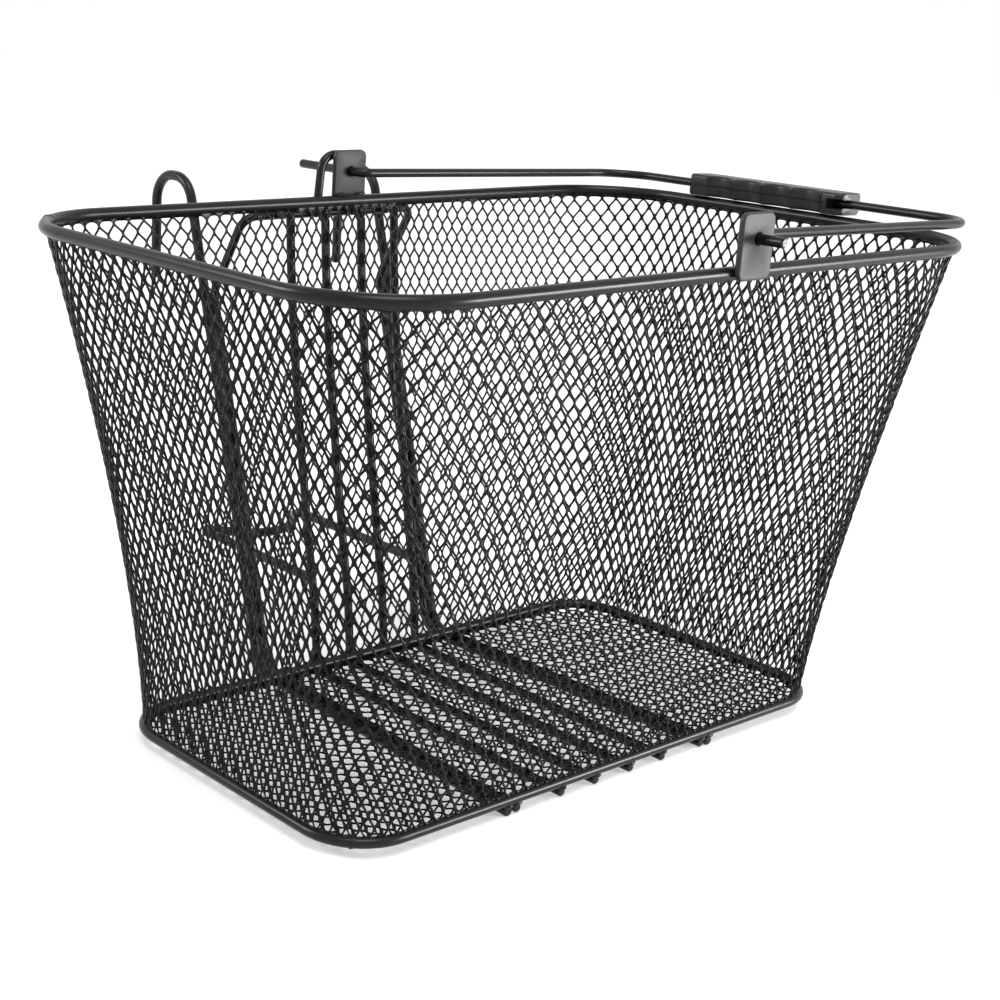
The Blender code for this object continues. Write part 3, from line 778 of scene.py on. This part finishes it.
def stem_y(height):
    """Y of the leaning stems at a height."""
    share = (height - HOOK_FLOOR_Z) / (TOP_Z - HOOK_FLOOR_Z)
    foot = BOTTOM[1] / 2 + STEM_FOOT_OUT
    return foot + (TOP[1] / 2 + STEM_TOP_OUT - foot) * share


def add_hook(name, side):
    x = side * HOOK_X
    hook_top = TOP_Z + HOOK_TOP_ABOVE_RIM
    leg_y = TOP[1] / 2 + HOOK_LEG_OUT
    add_wire(name + "_wire", [
        (side * HOOK_FRONT_X, FRONT_END_Y, HOOK_FLOOR_Z, 0),
        (x, BOTTOM[1] / 2, HOOK_FLOOR_Z, 0),
        (x, stem_y(HOOK_FLOOR_Z), HOOK_FLOOR_Z, STEM_BEND),
        (x, stem_y(hook_top), hook_top, HOOK_BEND),
        (x, leg_y, hook_top, HOOK_BEND),
        (x, leg_y, TOP_Z - HOOK_LEG_BELOW_RIM, 0),
    ], HOOK_WIRE, [name])


def add_support_frame():
    add_hook("left_hook", -1)
    add_hook("right_hook", 1)
    strut_z = TOP_Z - STRUT_DROP
    add_wire("frame_bow_wire", mirrored([
        (-FRAME_FRONT_X, FRONT_END_Y, FRAME_FLOOR_Z, 0),
        (-FRAME_X, BOTTOM[1] / 2, FRAME_FLOOR_Z, 0),
        (-FRAME_X, stem_y(FRAME_FLOOR_Z), FRAME_FLOOR_Z, STEM_BEND),
        (-FRAME_X, stem_y(strut_z), strut_z, STRUT_BEND),
        (-FRAME_X, TOP[1] / 2 + BAR_OUT, TOP_Z - BAR_DROP, STRUT_BEND),
    ]), FRAME_WIRE, ["frame_bow"])
    for name, side in (("left_rib", -1), ("right_rib", 1)):
        corners = rib_corners(side * OUTER_RIB_X, share_at(TOP_Z - RIB_TOP_BELOW_RIM))
        add_wire(name + "_wire", corners, FRAME_WIRE, [name])
    loop_y = TAB_FACE_Y + TAB_THICKNESS + SEAM_GAP + FRAME_WIRE / 2
    left = rib_corners(-CENTRE_RIB_X, share_at(TOP_Z - LOOP_KINK_FOOT))
    left.append((-CENTRE_RIB_X, loop_y, TOP_Z - LOOP_KINK_TOP, 0))
    left.append((-LOOP_TOP_X, loop_y, TOP_Z + LOOP_ABOVE_RIM, LOOP_BEND))
    add_wire("centre_loop_wire", mirrored(left), FRAME_WIRE, ["centre_loop"])
    height = BOTTOM_Z + CRADLE_HEIGHT
    rib_face = rear_wall_y(share_at(height)) + WALL_DEPTH / 2 + SEAM_GAP + FRAME_WIRE
    dip = (0, CRADLE_REACH - CRADLE_DIP, height, CRADLE_TUBE_BEND)
    left = [
        (-OUTER_RIB_X, rib_face + 2 * SEAM_GAP, height, 0),
        (-OUTER_RIB_X, CRADLE_REACH, height, CRADLE_CORNER_BEND),
    ]
    right = [(-x, y, z, radius) for x, y, z, radius in reversed(left)]
    add_wire("head_tube_cradle_wire", left + [dip] + right, HOOK_WIRE, ["head_tube_cradle"])


# Tabs

TAB_WIDTH = 0.019
TAB_THICKNESS = 0.0026
TAB_ABOVE_RIM = 0.0235
TAB_CORNER = 0.0032
TAB_EDGE = 0.00055
PIVOT_ABOVE_RIM = 0.0135
PIVOT_X = 0.0048
PIVOT_HOLE = 0.0026
BURR_WIDTH = 0.0007
BURR_HEIGHT = 0.00025
TAB_FACE_Y = TOP[1] / 2 + TOP_ROD / 2 + SEAM_GAP
PIVOT_Z = TOP_Z + PIVOT_ABOVE_RIM
TAB_RAYS = 96
HALVINGS = 40

# Burr round the pivot hole: shares of its width and height, from the hole outwards
BURR_OUTLINE = ((0, 0.5), (0.4, 1), (1, 0))

# Rounded edge of a tab: shares of its radius inwards and down, from the flat face outwards
EDGE_OUTLINE = ((1, 0), (0.3, 0.3), (0, 1))
EDGE_FRAME = 2.2


def rectangle_reach(angle, low, high, half_width, corner):
    """Distance from the pivot hole's middle to the tab's rounded outline along a ray."""
    step_x, step_z = math.cos(angle), math.sin(angle)
    near, far = 0.0, high - low + half_width
    middle_z, half_height = (low + high) / 2, (high - low) / 2
    for halving in range(HALVINGS):
        reach = (near + far) / 2
        dx = max(abs(reach * step_x) - (half_width - corner), 0)
        dz = max(abs(reach * step_z - middle_z) - (half_height - corner), 0)
        if math.hypot(dx, dz) < corner:
            near = reach
        else:
            far = reach
    return near


def add_tab(name, side):
    """Upright plate with rounded edges and a pierced hole whose rim stands slightly proud."""
    low = TOP_Z - TOP_ROD / 2 + SEAM_GAP - PIVOT_Z
    high = TAB_ABOVE_RIM - PIVOT_ABOVE_RIM
    face_y = TAB_FACE_Y + TAB_THICKNESS
    loops = [("hole", 0, TAB_FACE_Y)]
    loops += [("hole", BURR_WIDTH * out, face_y + BURR_HEIGHT * up) for out, up in BURR_OUTLINE]
    loops.append(("edge", TAB_EDGE * EDGE_FRAME, face_y))
    loops += [("edge", TAB_EDGE * inset, face_y - TAB_EDGE * down)
              for inset, down in EDGE_OUTLINE]
    loops += [("edge", TAB_EDGE * inset, TAB_FACE_Y + TAB_EDGE * up)
              for inset, up in reversed(EDGE_OUTLINE)]
    rings = []
    for kind, inset, y in loops:
        ring = []
        for ray in range(TAB_RAYS):
            angle = 2 * math.pi * ray / TAB_RAYS
            if kind == "hole":
                reach = PIVOT_HOLE + inset
            else:
                reach = rectangle_reach(angle, low + inset, high - inset, TAB_WIDTH / 2 - inset,
                                        TAB_CORNER - inset)
            ring.append(place(PIVOT_X + reach * math.cos(angle), side * y,
                              PIVOT_Z + reach * math.sin(angle)))
        rings.append(ring)
    points, faces = lofted(rings, closed=True)
    if side < 0:
        faces = [face[::-1] for face in faces]
    add_piece(name + "_plate", points, faces, SHEENED_PLATE_COAT, "basket", [name],
              smooth=math.radians(50))


# Bail and grip

BAIL_WIRE = 0.0042
BAIL_FOOT_Y = 0.1126
BAIL_REAR_CORNER_Y = 0.1105
BAIL_FRONT_CORNER_Y = 0.1041
BAIL_REACH = 0.1839
BAIL_BEND = 0.0233
BAIL_PIVOT_BEND = 0.0063
BAIL_REAR_STUB = 0.0354
BAIL_FRONT_STUB = 0.0124
GRIP_LENGTH = 0.092
GRIP_THICKNESS = 0.0106
GRIP_DEPTH = 0.0169
GRIP_SHIFT = 0.0111
GRIP_BLOCK = 0.0106
GRIP_FINGERS = 4
GRIP_FINGER_DEPTH = 0.0034
FINGER_POWER = 0.8
GRIP_EDGE = 0.0016
EDGE_STEPS = 4
GRIP_RINGS = 184
GRIP_END_ROUND = 0.0005
GRIP_Z = TOP_Z + TOP_ROD / 2 + SEAM_GAP + GRIP_THICKNESS / 2
SLIT_HALF = 0.0004
SLIT_DEPTH = 0.0007
FORK_LENGTH = 0.0078
FORK_HALF = 0.0024
FORK_SLOT_DEPTH = 0.0112
FORK_CHAMFER = 0.003
END_GROOVE = 0.0115
END_GROOVE_WIDTH = 0.0008
END_GROOVE_DEPTH = 0.0007


def bail_slope():
    return math.asin((PIVOT_Z - GRIP_Z) / BAIL_REACH)


def bail_place(along, y, up):
    """A point given along the folded bail from its pivot, in the row frame."""
    arm = Matrix.Rotation(bail_slope(), 3, "Y")
    return place(PIVOT_X, 0, PIVOT_Z) + arm @ Vector((along, y, up))


def add_bail():
    tab_out = TAB_FACE_Y + TAB_THICKNESS
    flat = [
        (0, tab_out + BAIL_REAR_STUB, 0, 0),
        (0, BAIL_FOOT_Y, 0, BAIL_PIVOT_BEND),
        (BAIL_REACH, BAIL_REAR_CORNER_Y, 0, BAIL_BEND),
        (BAIL_REACH, -BAIL_FRONT_CORNER_Y, 0, BAIL_BEND),
        (0, -BAIL_FOOT_Y, 0, BAIL_PIVOT_BEND),
        (0, -(tab_out + BAIL_FRONT_STUB), 0, 0),
    ]
    corners = [(*(bail_place(x, y, z) - SHIFT), radius) for x, y, z, radius in flat]
    wire = add_wire("bail_wire", corners, BAIL_WIRE, ["bail"], body="bail")
    wire.data.materials.append(CUT_STEEL)
    wire.data.polygons[-1].material_index = 1


def grip_inner(along):
    """Depth of the grip on its finger side at a place along it."""
    fluted = GRIP_LENGTH / 2 - GRIP_BLOCK
    half = GRIP_DEPTH / 2
    if abs(along) >= fluted:
        from_end = along + GRIP_LENGTH / 2
        return half - max(FORK_CHAMFER - from_end, 0)
    turn = math.pi * GRIP_FINGERS * (along + fluted) / (2 * fluted)
    return half - GRIP_FINGER_DEPTH * abs(math.sin(turn)) ** FINGER_POWER


def grip_section(along):
    """Outline of the grip at a place along it, as (depth, height) pairs, round its edges."""
    from_end = along + GRIP_LENGTH / 2
    is_grooved = abs(from_end - END_GROOVE) < END_GROOVE_WIDTH / 2
    inset = END_GROOVE_DEPTH if is_grooved else 0
    inner, outer = grip_inner(along) - inset, GRIP_DEPTH / 2 - inset
    half = GRIP_THICKNESS / 2 - inset
    edge = GRIP_EDGE
    is_forked = from_end < FORK_LENGTH
    mouth_half = FORK_HALF if is_forked else SLIT_HALF
    slot_floor = FORK_SLOT_DEPTH - GRIP_DEPTH / 2 if is_forked else SLIT_DEPTH - inner
    floor_half = FORK_HALF if is_forked else SLIT_HALF / 2
    outline = []
    for x_sign, z_sign, reach in ((1, 1, outer), (-1, 1, inner), (-1, -1, inner), (1, -1, outer)):
        quarter = []
        for step in range(EDGE_STEPS + 1):
            angle = math.pi / 2 * step / EDGE_STEPS
            quarter.append((x_sign * (reach - edge + edge * math.cos(angle)),
                            z_sign * (half - edge + edge * math.sin(angle))))
        outline += quarter if x_sign * z_sign > 0 else quarter[::-1]
        if x_sign < 0 and z_sign > 0:
            outline += [(-reach, mouth_half), (slot_floor, floor_half),
                        (slot_floor, -floor_half), (-reach, -mouth_half)]
    return outline


def add_grip():
    rings = []
    for ring in range(GRIP_RINGS + 1):
        along = GRIP_LENGTH * (ring / GRIP_RINGS - 0.5)
        shrink = GRIP_END_ROUND if ring in (0, GRIP_RINGS) else 0
        section = [(x - math.copysign(shrink, x), z - math.copysign(shrink, z))
                   for x, z in grip_section(along)]
        rings.append([bail_place(BAIL_REACH + x, along + GRIP_SHIFT, z) for x, z in section])
    points, faces = lofted(rings)
    faces = [face[::-1] for face in faces]
    sides = len(rings[0])
    faces.append(tuple(range(sides)))
    faces.append(tuple(reversed(range(GRIP_RINGS * sides, (GRIP_RINGS + 1) * sides))))
    add_piece("grip_moulding", points, faces, GRIP_PLASTIC, "bail", ["grip"],
              smooth=math.radians(35))


# Weld beads

BEAD_RINGS = 8
BEAD_SIDES = 12
BEAD_LUMPS = 0.16
LUMP_DRIFT = 2.3
SEED_STEP = 1.7
BEAD = 0.0023
RIM_BEAD_SHARE = 0.56
FLOOR_WIRES_X = (HOOK_FRONT_X, FRAME_FRONT_X, OUTER_RIB_X, CENTRE_RIB_X)
REAR_WIRES_X = (HOOK_X, FRAME_X, OUTER_RIB_X, CENTRE_RIB_X)

# Butt joints of the two rims, on the bend of a corner
BEND_DRAW = 1 - math.sqrt(0.5)
RIM_JOINTS = [
    (TOP[2] * BEND_DRAW - TOP[0] / 2, TOP[1] / 2 - TOP[2] * BEND_DRAW, TOP_Z, TOP_ROD),
    (BOTTOM[2] * BEND_DRAW - BOTTOM[0] / 2, BOTTOM[2] * BEND_DRAW - BOTTOM[1] / 2, BOTTOM_Z,
     BOTTOM_ROD),
]


def bead(middle, sizes, seed):
    """Points and faces of one lumpy bead about a middle."""
    points = [middle + Vector((0, 0, sizes[2]))]
    for ring in range(1, BEAD_RINGS):
        polar = math.pi * ring / BEAD_RINGS
        for side in range(BEAD_SIDES):
            angle = 2 * math.pi * side / BEAD_SIDES
            lump = math.sin(3 * angle + seed) * math.sin(2 * polar + LUMP_DRIFT * seed)
            reach = 1 + BEAD_LUMPS * lump * math.sin(polar)
            points.append(middle + reach * Vector((
                sizes[0] * math.sin(polar) * math.cos(angle),
                sizes[1] * math.sin(polar) * math.sin(angle),
                sizes[2] * math.cos(polar))))
    points.append(middle - Vector((0, 0, sizes[2])))
    last = len(points) - 1
    faces = []
    for side in range(BEAD_SIDES):
        beside = (side + 1) % BEAD_SIDES
        faces.append((0, 1 + side, 1 + beside))
        faces.append((last, last - 1 - side, last - 1 - beside))
        for ring in range(BEAD_RINGS - 2):
            here = 1 + ring * BEAD_SIDES
            there = here + BEAD_SIDES
            faces.append((here + side, there + side, there + beside, here + beside))
    return points, faces


def bead_places():
    """Middle of every bead about the middle of the rims, and its half sizes."""
    under = BOTTOM_Z - BOTTOM_ROD / 2
    cradle_z = BOTTOM_Z + CRADLE_HEIGHT
    rib_face = rear_wall_y(share_at(cradle_z)) + WALL_DEPTH + FRAME_WIRE
    places = []
    for sign in (-1, 1):
        for x in FLOOR_WIRES_X:
            places.append(((sign * x, -BOTTOM[1] / 2, under), (1.15, 1, 0.7)))
        for x in REAR_WIRES_X:
            places.append(((sign * x, BOTTOM[1] / 2 + BEAD, BOTTOM_Z - BEAD), (1.1, 1, 1)))
        for x in (OUTER_RIB_X, CENTRE_RIB_X):
            places.append(((sign * x, TOP[1] / 2 + BEAD, TOP_Z - BEAD), (1.2, 1, 1)))
            places.append(((sign * x, TOP[1] / 2 + BAR_OUT - BEAD, TOP_Z - BAR_DROP),
                           (1.1, 1.2, 0.8)))
        seam_x = sign * (HOOK_X + FRAME_X) / 2
        for height in (TOP_Z - STRUT_DROP - 3 * BEAD, cradle_z, 6 * BEAD):
            places.append(((seam_x, stem_y(height), height), (0.7, 1, 2)))
        places.append(((sign * OUTER_RIB_X, rib_face, cradle_z), (1.1, 1, 1.1)))
        for x in (PIVOT_X - TAB_WIDTH / 3, PIVOT_X + TAB_WIDTH / 3):
            places.append(((x, sign * TAB_FACE_Y, TOP_Z + TOP_ROD / 2), (1.3, 0.5, 0.4)))
    beads = [(middle, [BEAD * share for share in shares]) for middle, shares in places]
    joints = [((x, y, z), [rod * RIM_BEAD_SHARE] * 3) for x, y, z, rod in RIM_JOINTS]
    return beads + joints


def add_beads():
    points, faces = [], []
    for index, (middle, sizes) in enumerate(bead_places()):
        more, more_faces = bead(place(*middle), sizes, SEED_STEP * index)
        faces += [tuple(corner + len(points) for corner in face) for face in more_faces]
        points += more
    add_piece("weld_beads", points, faces, ROD_COAT, "basket")


# Stage, lights and camera

CAMERA_PLACE = (-0.54812, -0.541, 0.31794)
CAMERA_YAW = 0.70291
CAMERA_PITCH = 0.29711
CAMERA_ROLL = 0.04518
FOCAL_SHARE = 1.7688
CENTRE_X = 0.3464
CENTRE_Y = 0.5265
SENSOR = 36
LAMP_TARGET = (0, -0.03, 0.12)
ROOM_LIGHT = 0.35
FLOOR_GLOW = 0.37
FLOOR_COLOUR = (0.86, 0.86, 0.86, 1)
FLOOR_HALF = 6
SEEN_RAYS = ("Is Camera Ray", "Is Glossy Ray", "Is Transmission Ray")


def add_camera():
    camera = bpy.data.objects.new("camera", bpy.data.cameras.new("camera"))
    bpy.context.scene.collection.objects.link(camera)
    cos_pitch, sin_pitch = math.cos(CAMERA_PITCH), math.sin(CAMERA_PITCH)
    forward = Vector((math.sin(CAMERA_YAW) * cos_pitch, math.cos(CAMERA_YAW) * cos_pitch,
                      -sin_pitch))
    right = Vector((math.cos(CAMERA_YAW), -math.sin(CAMERA_YAW), 0))
    upward = right.cross(forward)
    cos_roll, sin_roll = math.cos(CAMERA_ROLL), math.sin(CAMERA_ROLL)
    rolled_right = right * cos_roll + upward * sin_roll
    rolled_up = upward * cos_roll - right * sin_roll
    turn = Matrix((rolled_right, rolled_up, -forward)).transposed()
    where = place(*CAMERA_PLACE) + Vector((0, 0, BOTTOM_Z))
    camera.matrix_world = Matrix.Translation(where) @ turn.to_4x4()
    camera.data.sensor_width = SENSOR
    camera.data.lens = FOCAL_SHARE * SENSOR
    camera.data.shift_x = 0.5 - CENTRE_X
    camera.data.shift_y = CENTRE_Y - 0.5
    camera.data.clip_start = 0.01
    bpy.context.scene.camera = camera


def add_lamp(name, where, target, size, power):
    data = bpy.data.lights.new(name, "AREA")
    data.shape = "RECTANGLE"
    data.size, data.size_y = size
    data.energy = power
    lamp = bpy.data.objects.new(name, data)
    bpy.context.scene.collection.objects.link(lamp)
    lamp.location = where
    direction = Vector(target) - Vector(where)
    lamp.rotation_euler = direction.to_track_quat("-Z", "Y").to_euler()


def add_sky_lamp(name, direction, angle, strength):
    """A wide, distant lamp that lights the whole floor evenly."""
    data = bpy.data.lights.new(name, "SUN")
    data.angle = angle
    data.energy = strength
    lamp = bpy.data.objects.new(name, data)
    bpy.context.scene.collection.objects.link(lamp)
    lamp.rotation_euler = Vector(direction).to_track_quat("-Z", "Y").to_euler()


def ray_switch(nodes, links):
    """Factor that is one for rays seen directly, mirrored or passed through."""
    paths = nodes.new("ShaderNodeLightPath")
    total = paths.outputs[SEEN_RAYS[0]]
    for output in SEEN_RAYS[1:]:
        adder = nodes.new("ShaderNodeMath")
        adder.operation = "MAXIMUM"
        links.new(total, adder.inputs[0])
        links.new(paths.outputs[output], adder.inputs[1])
        total = adder.outputs[0]
    return total


def add_stage():
    material, nodes, links, shader = new_material("pale_floor")
    shader.inputs["Base Color"].default_value = FLOOR_COLOUR
    shader.inputs["Roughness"].default_value = 0.9
    shader.inputs["Specular IOR Level"].default_value = 0.1
    glow = nodes.new("ShaderNodeEmission")
    glow.inputs["Strength"].default_value = FLOOR_GLOW
    both = nodes.new("ShaderNodeAddShader")
    links.new(shader.outputs[0], both.inputs[0])
    links.new(glow.outputs[0], both.inputs[1])
    mix = nodes.new("ShaderNodeMixShader")
    links.new(ray_switch(nodes, links), mix.inputs[0])
    links.new(shader.outputs[0], mix.inputs[1])
    links.new(both.outputs[0], mix.inputs[2])
    links.new(mix.outputs[0], nodes["Material Output"].inputs["Surface"])
    mesh = bpy.data.meshes.new("studio_floor")
    corners = [(x * FLOOR_HALF, y * FLOOR_HALF, 0) for x, y in ((-1, -1), (1, -1), (1, 1), (-1, 1))]
    mesh.from_pydata(corners, [], [(0, 1, 2, 3)])
    floor = bpy.data.objects.new("studio_floor", mesh)
    bpy.context.scene.collection.objects.link(floor)
    mesh.materials.append(material)
    world = bpy.data.worlds.new("studio")
    bpy.context.scene.world = world
    world.use_nodes = True
    nodes, links = world.node_tree.nodes, world.node_tree.links
    background = nodes["Background"]
    background.inputs["Color"].default_value = (1, 1, 1, 1)
    seen = map_node(nodes, links, ray_switch(nodes, links), low=ROOM_LIGHT, high=1)
    links.new(seen, background.inputs["Strength"])


def add_lights():
    add_lamp("front_right_box", (1.0, -1.25, 0.25), LAMP_TARGET, size=(0.72, 0.44), power=32)
    add_lamp("left_box", (-1.25, 0.95, 0.9), LAMP_TARGET, size=(0.4, 0.5), power=13)
    add_sky_lamp("top_light", (0.2, 0.4, -1), angle=math.radians(32), strength=1.6)


add_walls()
add_floor()
add_wire("top_rim_rod", rim_corners(TOP, TOP_Z), TOP_ROD, ["top_rim"], closed=True)
add_wire("bottom_rim_rod", rim_corners(BOTTOM, BOTTOM_Z), BOTTOM_ROD, ["bottom_rim"], closed=True)
add_support_frame()
add_tab("front_tab", -1)
add_tab("rear_tab", 1)
add_bail()
add_grip()
add_beads()
add_stage()
add_lights()
add_camera()

bpy.context.scene.view_settings.view_transform = "Standard"
